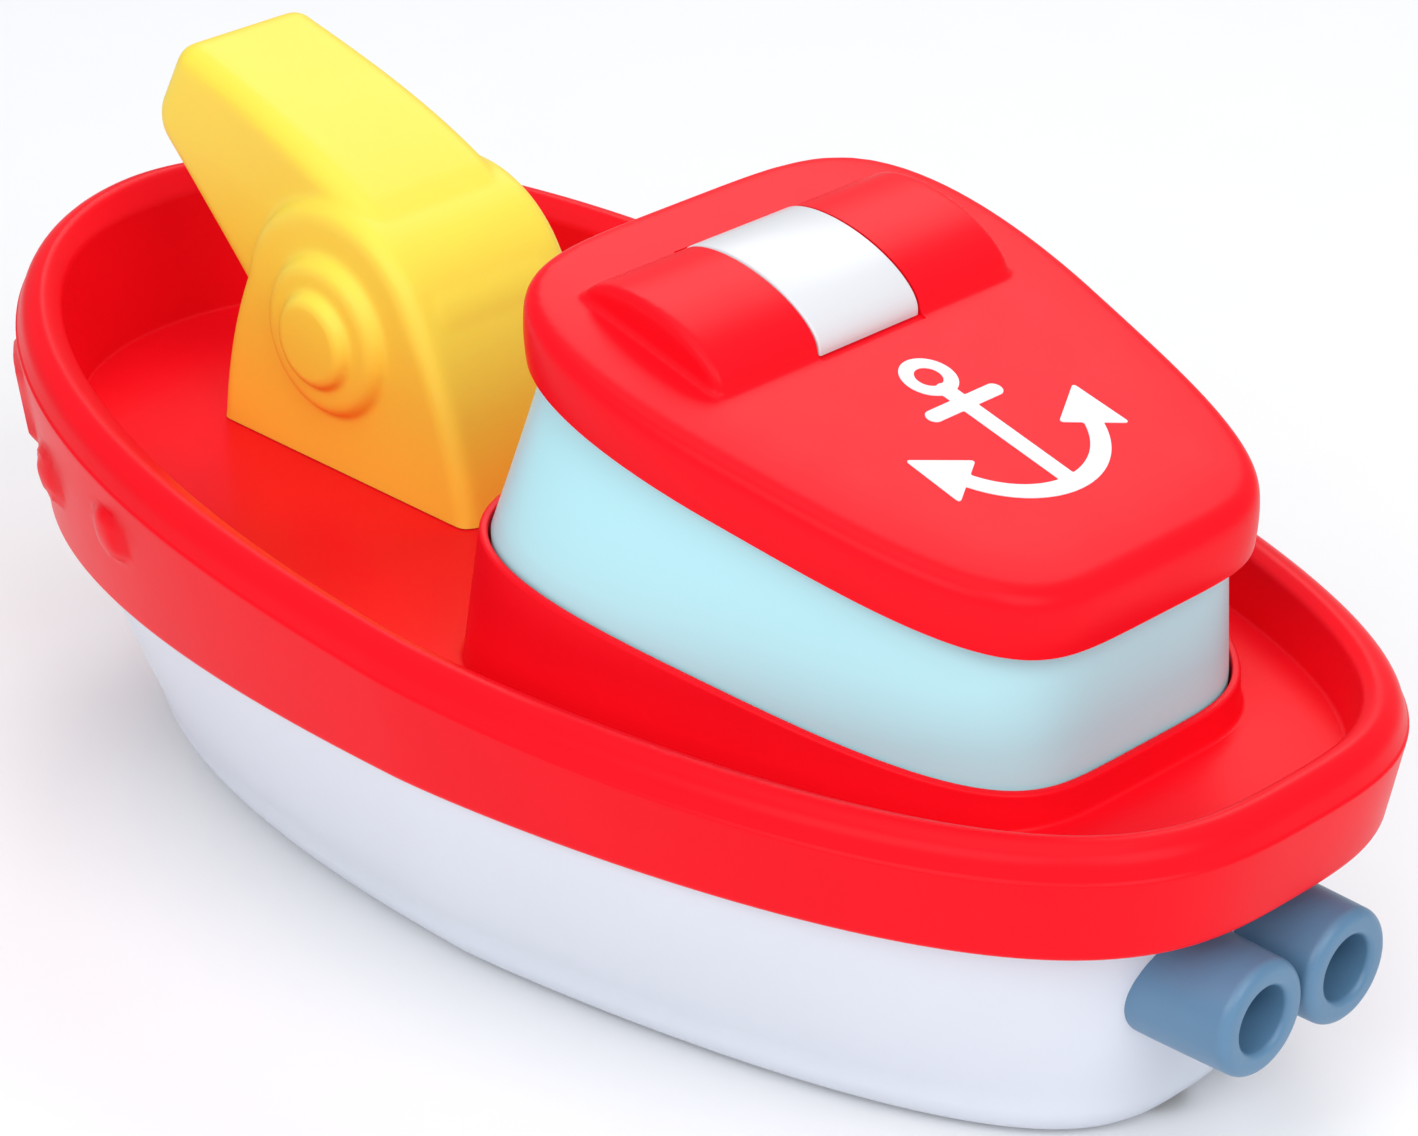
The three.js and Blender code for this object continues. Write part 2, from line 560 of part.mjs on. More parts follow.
// The plate that closes the foot from below, with the hollow spindle that turns in the deck.
function cannonBase() {
  const low = DECK_Z + 0.4;
  const plate = box(46.6, 2 * (FOOT_HALF - WALL - GAP), 3.6, 47.3, 0, low + 1.8);
  const spindle = turned([[0, 34], [5.5, 34], [5.5, 35.4], [4.5, 35.4], [4.5, 37.2], [5.5, 37.2], [5.5, 39.9],
    [4.4, 39.9], [4.4, 41.2], [5.5, 41.2], [5.5, low + 2], [1.5, low + 2], [1.5, 54], [0, 54]], CANNON_X, 0, 20);
  const bore = turned([[0, 33], [2.6, 33], [2.6, 44], [0.9, 45], [0.9, 55], [0, 55]], CANNON_X, 0, 20);
  const screwHoles = CANNON_SCREWS.map(([x, y]) => turned([[0, low - 1], [2.9, low - 1], [2.9, low + 2.3],
    [1.2, low + 2.3], [1.2, low + 5], [0, low + 5]], x, y, 10));
  return cut(joined([plate, spindle]), [bore, ...screwHoles]);
}

// The hose's route inside the cannon: up from the spindle, then along the barrel to the nozzle.
function nozzlePath() {
  const along = (distance) => new THREE.Vector3(MUZZLE.x - distance * Math.cos(MUZZLE.pitch), 0,
    MUZZLE.z - distance * Math.sin(MUZZLE.pitch));
  return new THREE.CatmullRomCurve3([new THREE.Vector3(CANNON_X, 0, 48.6), new THREE.Vector3(CANNON_X, 0, 58),
    new THREE.Vector3(CANNON_X + 3, 0, 70), along(24), along(12)]);
}

function nozzle() {
  const profile = [[1.1, -14], [1.5, -14], [1.5, -9], [3.1, -9], [3.1, -1.2], [1.1, -1.2], [1.1, -14]];
  return laidAlong(turned(profile, 0, 0, 24), MUZZLE.pitch, MUZZLE.x, 0, MUZZLE.z);
}

function swivelCup() {
  const profile = [[1.6, 24], [2.4, 24], [2.4, 30], [9, 30], [9, 39], [5.8, 39], [5.8, 33], [1.6, 33], [1.6, 24]];
  return turned(profile, CANNON_X, 0, 24);
}

// ---------------------------------------------------------------- fasteners
// A screw driven upwards, with its head at the bottom.
function screwUp(x, y, headZ, headRadius, shaftRadius, length) {
  return turned([[0, headZ], [headRadius, headZ], [headRadius, headZ + 1.5], [shaftRadius, headZ + 1.9],
    [shaftRadius, headZ + length - 1], [0, headZ + length]], x, y, 8);
}

function screwDown(x, y, headZ, headRadius, shaftRadius, length) {
  return turned([[0, headZ - length], [shaftRadius, headZ - length + 1], [shaftRadius, headZ - 1.6],
    [headRadius, headZ - 1.4], [headRadius, headZ], [0, headZ]], x, y, 8);
}

// ---------------------------------------------------------------- assembly
const FINISH = {
  red: { color: 0xf01e2c, roughness: 0.3, metalness: 0 },
  white: { color: 0xdfe4ee, roughness: 0.35, metalness: 0 },
  yellow: { color: 0xffd23c, roughness: 0.35, metalness: 0 },
  paleBlue: { color: 0xb4e4ee, roughness: 0.3, metalness: 0 },
  slate: { color: 0x5a7f99, roughness: 0.4, metalness: 0 },
  pump: { color: 0xe8e8e4, roughness: 0.4, metalness: 0 },
  rubber: { color: 0x222426, roughness: 0.8, metalness: 0 },
  hose: { color: 0xcfd8d8, roughness: 0.3, metalness: 0 },
  steel: { color: 0xb8bcc0, roughness: 0.3, metalness: 1 },
};

const boat = new THREE.Group();

function addPart(name, body, finish) {
  const { vertProperties, triVerts } = body.getMesh();
  const geometry = new THREE.BufferGeometry();
  geometry.setAttribute('position', new THREE.BufferAttribute(vertProperties, 3));
  geometry.setIndex(new THREE.BufferAttribute(triVerts, 1));
  geometry.computeVertexNormals();
  const mesh = new THREE.Mesh(geometry, new THREE.MeshStandardMaterial(FINISH[finish]));
  mesh.name = name;
  boat.add(mesh);
}

addPart('lower_hull', lowerHull(), 'white');
addPart('upper_hull', upperHull(), 'red');
addPart('stern_pipe_port', sternPipe(1), 'slate');
addPart('stern_pipe_starboard', sternPipe(-1), 'slate');

addPart('cabin_window', cabinWindow(), 'paleBlue');
addPart('cabin_roof', cabinRoof(), 'red');
addPart('roof_light', roofLight(), 'white');
addPart('cabin_base_frame', cabinBaseFrame(), 'pump');

addPart('pump_cylinder', pumpCylinder(), 'pump');
addPart('cylinder_cap', sleeve(15, 3.5, 36.3, 38.6, PUMP_X, 0, 24), 'pump');
addPart('pump_piston', pumpPiston(), 'pump');
addPart('piston_seal', sleeve(12.85, 10.7, PISTON_Z + 2.5, PISTON_Z + 4.5, PUMP_X, 0, 28), 'rubber');
addPart('plunger_rod', rod(3, PISTON_Z + 3.3, 80.7, PUMP_X, 0), 'steel');
addPart('return_spring', returnSpring(), 'steel');
addPart('inlet_valve', inletValve(), 'rubber');
addPart('inlet_strainer', inletStrainer(), 'slate');
addPart('valve_body', valveBody(), 'pump');
addPart('valve_duckbill', valveDuckbill(), 'rubber');
addPart('outlet_hose', outletHose(), 'hose');
addPart('ballast_plate', box(56, 30, 3.2, 32, 0, FLOOR_Z + 1.9), 'steel');

addPart('cannon_body', cannonBody(), 'yellow');
addPart('cannon_base', cannonBase(), 'yellow');
addPart('cannon_nozzle', nozzle(), 'slate');
addPart('nozzle_hose', tube(nozzlePath(), 2.8, 1.8, 8), 'hose');
addPart('swivel_cup', swivelCup(), 'pump');
addPart('spindle_seal', sleeve(5.65, 4.7, 35.6, 37, CANNON_X, 0), 'rubber');
addPart('spindle_clip', sleeve(8, 4.7, 40.1, 41, CANNON_X, 0), 'steel');

HULL_SCREWS.forEach(([x, y], i) => {
  addPart(`hull_screw_${i + 1}`, screwUp(x, y, 3.8, 3, 1, 17), 'steel');
});
CABIN_SCREWS.forEach(([x, y], i) => {
  addPart(`cabin_screw_${i + 1}`, screwUp(x, y, DECK_UNDER_Z - 4.3, 2.5, 0.9, 12), 'steel');
});
CANNON_SCREWS.forEach(([x, y], i) => {
  addPart(`cannon_screw_${i + 1}`, screwUp(x, y, DECK_Z + 0.6, 2.4, 0.9, 11), 'steel');
});
pumpScrewPlaces().forEach(([x, y], i) => {
  addPart(`pump_screw_${i + 1}`, screwDown(x, y, 12.3, 2.4, 0.8, 8), 'steel');
});

export default boat;
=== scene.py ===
"""Toy fireboat: the surfaces and materials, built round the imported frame. Shapes are in mm."""
import json
import math

import bmesh
import bpy
import numpy as np
from mathutils import Matrix, Vector


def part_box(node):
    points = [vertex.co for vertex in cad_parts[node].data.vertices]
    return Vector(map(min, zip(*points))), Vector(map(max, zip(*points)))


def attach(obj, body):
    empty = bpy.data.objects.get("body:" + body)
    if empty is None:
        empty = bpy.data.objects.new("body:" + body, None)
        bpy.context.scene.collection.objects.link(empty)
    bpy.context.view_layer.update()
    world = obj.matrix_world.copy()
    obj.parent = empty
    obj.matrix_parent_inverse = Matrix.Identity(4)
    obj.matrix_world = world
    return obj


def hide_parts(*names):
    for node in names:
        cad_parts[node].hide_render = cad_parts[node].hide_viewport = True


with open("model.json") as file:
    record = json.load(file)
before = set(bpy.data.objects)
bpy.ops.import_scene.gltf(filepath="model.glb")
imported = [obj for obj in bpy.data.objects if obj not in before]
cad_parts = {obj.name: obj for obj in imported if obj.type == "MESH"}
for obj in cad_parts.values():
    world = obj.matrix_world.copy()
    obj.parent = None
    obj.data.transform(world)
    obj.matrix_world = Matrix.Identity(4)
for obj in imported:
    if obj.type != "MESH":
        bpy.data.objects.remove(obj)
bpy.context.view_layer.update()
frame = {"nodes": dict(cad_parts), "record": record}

MM = 0.001

# ---------------------------------------------------------------- driving dimensions, in mm
WALL = 2.2
GAP = 0.3
DECK_Z = 44.2
DECK_UNDER_Z = DECK_Z - WALL
FLOOR_Z = 2.4
BILGE_RADIUS = 6.9
FLARE_POWER = 1.3
ROOF_THICKNESS = 8.65
ROOF_SLOPE = 0.249

# Plan outlines: two half superellipses that meet at x = mid.
RIM_OUTER = dict(
    stern=-110, bow=110, mid=-8.7, half=58.6,
    stern_powers=(1.48, 3.05), bow_powers=(2.83, 1.92),
)
RIM_INNER = dict(
    stern=-104.1, bow=103.1, mid=-7.6, half=52.6,
    stern_powers=(1.33, 3.19), bow_powers=(2.2, 2.28),
)
SKIRT_EDGE = dict(
    stern=-108, bow=105.6, mid=-9.9, half=56.6,
    stern_powers=(1.49, 3.02), bow_powers=(2.38, 2.22),
)
HULL_TOP = dict(
    stern=-99.6, bow=94.8, mid=-9.9, half=55.4,
    stern_powers=(1.49, 3.02), bow_powers=(2.38, 2.22),
)
HULL_FOOT = dict(
    stern=-94.6, bow=91.5, mid=-5.3, half=43.1,
    stern_powers=(1.24, 2.85), bow_powers=(2.38, 2.16),
)
CABIN_FOOT = dict(
    stern=-83.3, bow=-0.9, mid=-42.1, half=36,
    stern_powers=(3.3, 5.17), bow_powers=(2.7, 5.55), taper=0.00618,
)
WINDOW_HEAD = dict(
    stern=-82.6, bow=-4.9, mid=-44, half=33.2,
    stern_powers=(3.3, 4.6), bow_powers=(2, 4.6), taper=0.00533,
)
ROOF_EDGE = dict(
    stern=-85.7, bow=-2.3, mid=-44, half=35.8,
    stern_powers=(3.8, 5.1), bow_powers=(1.97, 4.5), taper=0.00533,
)

PIPE_Y = 8.07
PIPE_Z = 24.8
PIPE_END_X = -110.8
PUMP_X = -44
WELL_RADIUS = 3.5
INLET_RADIUS = 7.3
CANNON_X = 48.7
BOSS_Z = 64.5
CANNON_HALF = 14.7
BARREL_HALF = 11.6
DISC_RADIUS = 18.7
MUZZLE = dict(x=85.6, z=90.4, pitch=0.55)
BAR = dict(x=-25.2, half=26.4, reach=12.26, rise=5.1, insert_half=9.0, insert_depth=1.6)
HULL_SCREWS = [f"hull_screw_{i + 1}" for i in range(5)]


def rim_crease_z(x):
    return 52.4 + 0.066 * x + 0.000364 * x * x


def rim_inner_z(x):
    return 54.7 + 0.057 * x + 0.000287 * x * x


def skirt_edge_z(x):
    return 36.2 - 0.02 * x - 0.000116 * x * x


def collar_z(x):
    return 63.4 + 0.175 * x


def roof_edge_z(x):
    return 88.4 + ROOF_SLOPE * x


# ---------------------------------------------------------------- outlines and rings
def outline(spec, offset=0.0, count=320):
    """Evenly spaced points round a plan outline, anticlockwise from the bow, grown by offset."""
    angle = np.linspace(0, 2 * np.pi, 4001)
    c, s = np.cos(angle), np.sin(angle)
    fore = c > 0
    p = np.where(fore, spec["bow_powers"][0], spec["stern_powers"][0])
    q = np.where(fore, spec["bow_powers"][1], spec["stern_powers"][1])
    reach = np.where(fore, spec["bow"] - spec["mid"], spec["mid"] - spec["stern"])
    x = spec["mid"] + np.sign(c) * reach * np.abs(c) ** (2 / p)
    half = spec["half"] * (1 + spec.get("taper", 0) * (x - spec["mid"]))
    y = half * np.sign(s) * np.abs(s) ** (2 / q)
    length = np.concatenate([[0], np.cumsum(np.hypot(np.diff(x), np.diff(y)))])
    at = np.linspace(0, length[-1], count, endpoint=False)
    return grow(np.stack([np.interp(at, length, x), np.interp(at, length, y)], axis=1), offset)


def grow(points, offset):
    """Moves a closed anticlockwise outline outwards, by one offset or by one for each point."""
    along = np.roll(points, -1, axis=0) - np.roll(points, 1, axis=0)
    along /= np.linalg.norm(along, axis=1)[:, None]
    outwards = np.stack([along[:, 1], -along[:, 0]], axis=1)
    return points + outwards * np.reshape(offset, (-1, 1))


def ring(points, height):
    z = height(points[:, 0]) if callable(height) else np.full(len(points), float(height))
    return np.column_stack([points, z])


def span(start, end, steps):
    """Rings in between two rings, ends left out."""
    return [start + (end - start) * (i + 1) / (steps + 1) for i in range(steps)]


def rounded(rings, radii, steps=6, cyclic=False):
    """Rounds the corners that columns of a ring stack make; radii are distances along the sides."""
    result = []
    last = len(rings) - 1
    for i, here in enumerate(rings):
        if radii[i] == 0 or (not cyclic and i in (0, last)):
            result.append(here)
            continue
        arms = [rings[i - 1] - here, rings[(i + 1) % len(rings)] - here]
        lengths = [np.linalg.norm(arm, axis=1)[:, None] for arm in arms]
        cut = np.minimum(radii[i], 0.48 * np.minimum(*lengths))
        start, end = [here + arm / length * cut for arm, length in zip(arms, lengths)]
        for t in np.linspace(0, 1, steps + 1):
            result.append((1 - t) ** 2 * start + 2 * t * (1 - t) * here + t * t * end)
    return result


# ---------------------------------------------------------------- meshes
def piece_from(name, vertices, faces, body):
    mesh = bpy.data.meshes.new(name)
    mesh.from_pydata((np.asarray(vertices) * MM).tolist(), [], faces)
    mesh.validate()
    piece = bpy.data.objects.new(name, mesh)
    bpy.context.scene.collection.objects.link(piece)
    if body:
        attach(piece, body)
    return piece


def ring_faces(levels, count, cyclic=False):
    faces = []
    for level in range(levels if cyclic else levels - 1):
        low, high = level * count, (level + 1) % levels * count
        for i in range(count):
            j = (i + 1) % count
            faces.append((low + i, low + j, high + j, high + i))
    return faces


def lofted(name, rings, body, cyclic=False):
    """A closed body through a stack of rings, capped at both ends or joined back to the first."""
    count = len(rings[0])
    vertices = np.concatenate(rings)
    faces = ring_faces(len(rings), count, cyclic)
    if not cyclic:
        first, last = len(vertices), len(vertices) + 1
        top = (len(rings) - 1) * count
        vertices = np.concatenate([vertices, [rings[0].mean(axis=0)], [rings[-1].mean(axis=0)]])
        for i in range(count):
            j = (i + 1) % count
            faces += [(first, j, i), (last, top + i, top + j)]
    return piece_from(name, vertices, faces, body)


def turned(name, profile, body, segments=64, place=None):
    """A body turned about Z from [radius, z] pairs that end on the axis, or close on themselves."""
    open_ends = profile[0][0] == 0 and profile[-1][0] == 0
    inner = profile[1:-1] if open_ends else profile
    angle = np.linspace(0, 2 * np.pi, segments, endpoint=False)
    circle = np.column_stack([np.cos(angle), np.sin(angle)])
    rings = [ring(r * circle, z) for r, z in inner]
    vertices = np.concatenate(rings)
    faces = ring_faces(len(rings), segments, cyclic=not open_ends)
    if open_ends:
        low, high, top = len(vertices), len(vertices) + 1, (len(rings) - 1) * segments
        vertices = np.concatenate([vertices, [[0, 0, profile[0][1]]], [[0, 0, profile[-1][1]]]])
        for i in range(segments):
            j = (i + 1) % segments
            faces += [(low, j, i), (high, top + i, top + j)]
    piece = piece_from(name, vertices, faces, body)
    if place is not None:
        piece.data.transform(Matrix.Scale(MM, 4) @ place @ Matrix.Scale(1 / MM, 4))
    return piece


def arc(cx, cz, radius, start, end, steps=6):
    """Profile points on an arc, angles in degrees."""
    angles = np.radians(np.linspace(start, end, steps + 1))
    return [(cx + radius * math.cos(a), cz + radius * math.sin(a)) for a in angles]


def along_x(pitch, x, y, z):
    """Lays a body made along Z so that it points along +X, tilted up by pitch, from a point."""
    return Matrix.Translation((x, y, z)) @ Matrix.Rotation(math.pi / 2 - pitch, 4, "Y")


def prism(name, outline_xz, half, edge, body=None, steps=6, draft=None):
    """An XZ outline pushed out to both sides, its long edges rounded; draft widens it in places."""
    points = np.asarray(outline_xz, float)
    ahead = np.roll(points, -1, axis=0)
    area = np.sum(points[:, 0] * ahead[:, 1] - ahead[:, 0] * points[:, 1])
    if area > 0:
        points = points[::-1]
    levels = []
    angles = np.linspace(0, np.pi / 2, steps + 1) if edge > 0 else [np.pi / 2]
    for angle in angles:
        inset = edge * (1 - math.sin(angle))
        y = half - edge * (1 - math.cos(angle))
        levels.append((y, shrink(points, inset)))

    def layer(y, xz):
        widening = draft(xz) if draft else np.ones(len(xz))
        return np.column_stack([xz[:, 0], y * widening, xz[:, 1]])

    rings = [layer(-y, xz) for y, xz in levels]
    rings += [layer(y, xz) for y, xz in reversed(levels)]
    return lofted(name, rings, body)


def shrink(points, inset):
    """Draws a closed clockwise outline in by a distance."""
    along = np.roll(points, -1, axis=0) - np.roll(points, 1, axis=0)
    along /= np.maximum(np.linalg.norm(along, axis=1)[:, None], 1e-9)
    inwards = np.stack([along[:, 1], -along[:, 0]], axis=1)
    return points + inwards * inset


def resampled(points, spacing):
    """Evenly spaced points round a closed outline."""
    points = np.vstack([points, points[:1]])
    length = np.concatenate([[0], np.cumsum(np.linalg.norm(np.diff(points, axis=0), axis=1))])
    at = np.linspace(0, length[-1], int(length[-1] / spacing), endpoint=False)
    return np.column_stack([np.interp(at, length, points[:, k]) for k in (0, 1)])


def bezier(a, b, c, steps=14):
    a, b, c = (np.array(v, float) for v in (a, b, c))
    shares = np.linspace(0, 1, steps + 1)
    return [tuple((1 - t) ** 2 * a + 2 * t * (1 - t) * b + t * t * c) for t in shares]


def apply_modifiers(piece):
    graph = bpy.context.evaluated_depsgraph_get()
    mesh = bpy.data.meshes.new_from_object(piece.evaluated_get(graph))
    old = piece.data
    piece.modifiers.clear()
    piece.data = mesh
    bpy.data.meshes.remove(old)


def cut_away(piece, cutters):
    """Takes the cutters out of a piece and removes them."""
    for cutter in cutters:
        modifier = piece.modifiers.new("cut", "BOOLEAN")
        modifier.operation = "DIFFERENCE"
        modifier.solver = "MANIFOLD"
        modifier.object = cutter
    apply_modifiers(piece)
    for cutter in cutters:
        bpy.data.objects.remove(cutter)


def melt(piece, voxel, smoothing):
    """Runs overlapping solids into one soft-edged skin."""
    remesh = piece.modifiers.new("melt", "REMESH")
    remesh.mode = "VOXEL"
    remesh.voxel_size = voxel * MM
    smooth = piece.modifiers.new("soften", "SMOOTH")
    smooth.factor = 0.5
    smooth.iterations = smoothing
    apply_modifiers(piece)


def merge(name, pieces, body):
    """One object from several solids, which may overlap."""
    joined = bmesh.new()
    for piece in pieces:
        joined.from_mesh(piece.data)
        bpy.data.objects.remove(piece)
    mesh = bpy.data.meshes.new(name)
    joined.to_mesh(mesh)
    joined.free()
    result = bpy.data.objects.new(name, mesh)
    bpy.context.scene.collection.objects.link(result)
    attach(result, body)
    return result


def finish_piece(piece, material, nodes=(), sharp=35):
    """Smooth shading, a material and the nodes that the piece stands in for."""
    work = bmesh.new()
    work.from_mesh(piece.data)
    bmesh.ops.recalc_face_normals(work, faces=work.faces)
    work.to_mesh(piece.data)
    work.free()
    piece.data.shade_smooth()
    piece.data.set_sharp_from_angle(angle=math.radians(sharp))
    piece.data.materials.clear()
    piece.data.materials.append(material)
    if nodes:
        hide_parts(*nodes)


# ---------------------------------------------------------------- materials
FLOW_SCALE = 38
POLISH_SCALE = 160
SKIN_SCALE = 900
SKIN_DEPTH = 0.0002


def plastic(name, colour, rough=0.3, subsurface=0.0, radius=(1, 1, 1), scale=1.5, grain=0.04,
            mottling=0.03, metallic=0.0, specular=0.5):
    """Moulded plastic: slight flow mottling, uneven polish and a very fine moulded grain."""
    material = bpy.data.materials.new(name)
    material.use_nodes = True
    tree = material.node_tree
    shader = tree.nodes["Principled BSDF"]
    link = tree.links.new
    place = tree.nodes.new("ShaderNodeTexCoord")

    def noise(noise_scale, detail):
        texture = tree.nodes.new("ShaderNodeTexNoise")
        texture.inputs["Scale"].default_value = noise_scale
        texture.inputs["Detail"].default_value = detail
        link(place.outputs["Object"], texture.inputs["Vector"])
        return texture.outputs["Fac"]

    tint = tree.nodes.new("ShaderNodeValToRGB")
    dark, light = tint.color_ramp.elements
    dark.position, light.position = 0.3, 0.7
    dark.color = (*(min(1, c * (1 - mottling)) for c in colour), 1)
    light.color = (*(min(1, c * (1 + mottling)) for c in colour), 1)
    link(noise(FLOW_SCALE, 3), tint.inputs["Fac"])
    link(tint.outputs["Color"], shader.inputs["Base Color"])

    spread = tree.nodes.new("ShaderNodeMapRange")
    spread.inputs["To Min"].default_value = rough - 0.03
    spread.inputs["To Max"].default_value = rough + 0.04
    link(noise(POLISH_SCALE, 4), spread.inputs["Value"])
    link(spread.outputs["Result"], shader.inputs["Roughness"])

    bump = tree.nodes.new("ShaderNodeBump")
    bump.inputs["Strength"].default_value = grain
    bump.inputs["Distance"].default_value = SKIN_DEPTH
    link(noise(SKIN_SCALE, 2), bump.inputs["Height"])
    link(bump.outputs["Normal"], shader.inputs["Normal"])

    shader.inputs["Metallic"].default_value = metallic
    shader.inputs["Specular IOR Level"].default_value = specular
    shader.inputs["Subsurface Weight"].default_value = subsurface
    shader.inputs["Subsurface Radius"].default_value = radius
    shader.inputs["Subsurface Scale"].default_value = scale * MM
    return material


RED = plastic("red_plastic", (0.87, 0.005, 0.014), rough=0.33, specular=0.09)
WHITE = plastic("hull_white_plastic", (0.71, 0.745, 0.825),
                rough=0.36, subsurface=0.1, mottling=0.01, specular=0.4)
YELLOW = plastic("yellow_plastic", (0.95, 0.715, 0.07), rough=0.42,
                 subsurface=0.15, radius=(1, 0.6, 0.1), scale=2.5, mottling=0.015, specular=0.3)
WINDOW = plastic("window_plastic", (0.445, 0.815, 0.885),
                 rough=0.3, mottling=0.004, grain=0, specular=0.3)
LIGHT = plastic("light_white_plastic", (0.68, 0.69, 0.715), rough=0.3, mottling=0.01)
SLATE = plastic("slate_plastic", (0.1, 0.222, 0.365), rough=0.38, grain=0.12, mottling=0.05)
INNER = plastic("inner_plastic", (0.78, 0.78, 0.75), rough=0.45)
RUBBER = plastic("seal_rubber", (0.02, 0.02, 0.022),
                 rough=0.7, grain=0.2, mottling=0.15, specular=0.3)
HOSE = plastic("hose_rubber", (0.62, 0.68, 0.68), rough=0.35, subsurface=0.3)
STEEL = plastic("zinc_steel", (0.55, 0.56, 0.58), rough=0.3, metallic=1.0, mottling=0.08, grain=0.1)
PRINT = plastic("white_print", (0.78, 0.77, 0.8), rough=0.45, mottling=0.02, grain=0.1)


# ---------------------------------------------------------------- camera, floor and light
def add_camera():
    """Looks down from the port quarter towards the bow, turned very slightly about its own axis."""
    azimuth, elevation, roll = (math.radians(angle) for angle in (45.32, 27.48, 0.30))
    level = math.cos(elevation)
    forward = Vector((level * math.cos(azimuth), -level * math.sin(azimuth), -math.sin(elevation)))
    right = Vector((-math.sin(azimuth), -math.cos(azimuth), 0))
    up = right.cross(forward)
    turned_right = math.cos(roll) * right + math.sin(roll) * up
    turned_up = math.cos(roll) * up - math.sin(roll) * right
    eye = Vector((-379.57, 374.41, 318.78)) * MM
    lens = bpy.data.cameras.new("camera")
    lens.sensor_width = 36
    lens.lens = 114.25
    lens.shift_x, lens.shift_y = 0.0008, 0.0005
    lens.clip_start = 0.01
    camera = bpy.data.objects.new("camera", lens)
    turn = Matrix((turned_right, turned_up, -forward)).transposed().to_4x4()
    camera.matrix_world = Matrix.Translation(eye) @ turn
    bpy.context.scene.collection.objects.link(camera)
    bpy.context.scene.camera = camera


def area_light(name, place, target, size, power):
    lamp = bpy.data.lights.new(name, "AREA")
    lamp.shape = "RECTANGLE"
    lamp.size, lamp.size_y = size
    lamp.energy = power
    light = bpy.data.objects.new(name, lamp)
    light.location = place
    light.rotation_euler = (Vector(target) - Vector(place)).to_track_quat("-Z", "Y").to_euler()
    bpy.context.scene.collection.objects.link(light)


def add_studio():
    world = bpy.data.worlds.new("studio")
    world.use_nodes = True
    background = world.node_tree.nodes["Background"]
    background.inputs["Color"].default_value = (0.93, 0.96, 1.0, 1)
    background.inputs["Strength"].default_value = 0.45
    bpy.context.scene.world = world

    reach = 8.0
    corners = [(-reach, -reach, 0), (reach, -reach, 0), (reach, reach, 0), (-reach, reach, 0)]
    mesh = bpy.data.meshes.new("floor")
    mesh.from_pydata(corners, [], [(0, 1, 2, 3)])
    floor = bpy.data.objects.new("floor", mesh)
    bpy.context.scene.collection.objects.link(floor)
    sheet = plastic("floor_sheet", (0.89, 0.893, 0.9), rough=0.75, specular=0.2, mottling=0.004)
    mesh.materials.append(sheet)

    area_light("overhead", (-0.1, 0.1, 1.1), (0, 0, 0.05), (0.8, 0.8), 3)
    area_light("back", (0.6, -0.98, 1.15), (0, 0, 0.05), (0.95, 0.62), 6.8)
    area_light("key", (-0.9, 0.2, 0.75), (0, 0, 0.05), (0.7, 0.7), 5)
    area_light("front", (-0.35, 1.2, 0.95), (0, 0, 0.04), (1.2, 0.8), 9.3)
    bpy.context.scene.view_settings.view_transform = "Standard"


# ---------------------------------------------------------------- hull
def hull_rings(offset, floor_z, top_z):
    """Rings of the hull's skin from its flat floor, round the bilge and up the flared side."""
    foot = outline(HULL_FOOT, offset)
    top = outline(HULL_TOP, offset)
    rings = []
    for angle in np.radians(np.linspace(0, 90, 9)):
        inset = BILGE_RADIUS * (1 - math.sin(angle))
        height = floor_z + (BILGE_RADIUS - floor_z) * (1 - math.cos(angle))
        rings.append(ring(grow(foot, -inset), height))
    for t in np.linspace(0, 1, 15)[1:]:
        flare = 1 - (1 - t) ** FLARE_POWER
        side = foot + (top - foot) * flare
        rings.append(ring(side, lambda x, t=t: BILGE_RADIUS + (top_z(x) - BILGE_RADIUS) * t))
    return rings


def flat_disc_rings(outer, shares):
    """Rings inside a flat end face, so that its triangles stay short."""
    middle = outer.mean(axis=0)
    return [middle + (outer - middle) * share for share in shares]


def screw_place(node):
    """Where a screw stands: x, y, its lowest z and its highest z, in mm."""
    low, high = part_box(node)
    x, y = [(low[k] + high[k]) / 2 / MM for k in (0, 1)]
    return x, y, low[2] / MM, high[2] / MM


def build_hull():
    def edge(x):
        return skirt_edge_z(x) - GAP

    def lip_top(x):
        return edge(x) + 5

    outside = hull_rings(0, 0, edge)
    lip_outside, lip_inside = outline(HULL_TOP, -2.8), outline(HULL_TOP, -4.6)
    lip = [ring(lip_outside, edge), ring(lip_outside, lip_top), ring(lip_inside, lip_top),
           ring(lip_inside, edge)]
    inside = hull_rings(-WALL, FLOOR_Z, lambda x: edge(x) - 5)[::-1]
    corner = rounded([*outside[-2:], *lip, inside[0]], [0, 0.5, 0.3, 0.4, 0.4, 1.5, 0], steps=4)
    shares = (0.25, 0.5, 0.75)
    rings = flat_disc_rings(outside[0], shares) + outside[:-2] + corner + inside[1:]
    rings += flat_disc_rings(inside[-1], shares[::-1])
    hull = lofted("hull_shell", rings, "hull")
    wells = []
    for i, node in enumerate(HULL_SCREWS):
        x, y, _, _ = screw_place(node)
        profile = [(0, -1), (3.9, -1), (3.9, -0.01)] + arc(3.9, 0.4, 0.4, -90, -180, 4)[1:]
        profile += [(WELL_RADIUS, 6), (1.5, 6), (1.5, 8), (0, 8)]
        wells.append(turned(f"well_{i}", profile, None, 40, Matrix.Translation((x, y, 0))))
    inlet = [(0, -1), (INLET_RADIUS, -1), (INLET_RADIUS, 4), (0, 4)]
    wells.append(turned("inlet", inlet, None, 64, Matrix.Translation((PUMP_X, 0, 0))))
    cut_away(hull, wells)
    finish_piece(hull, WHITE, ["lower_hull"])


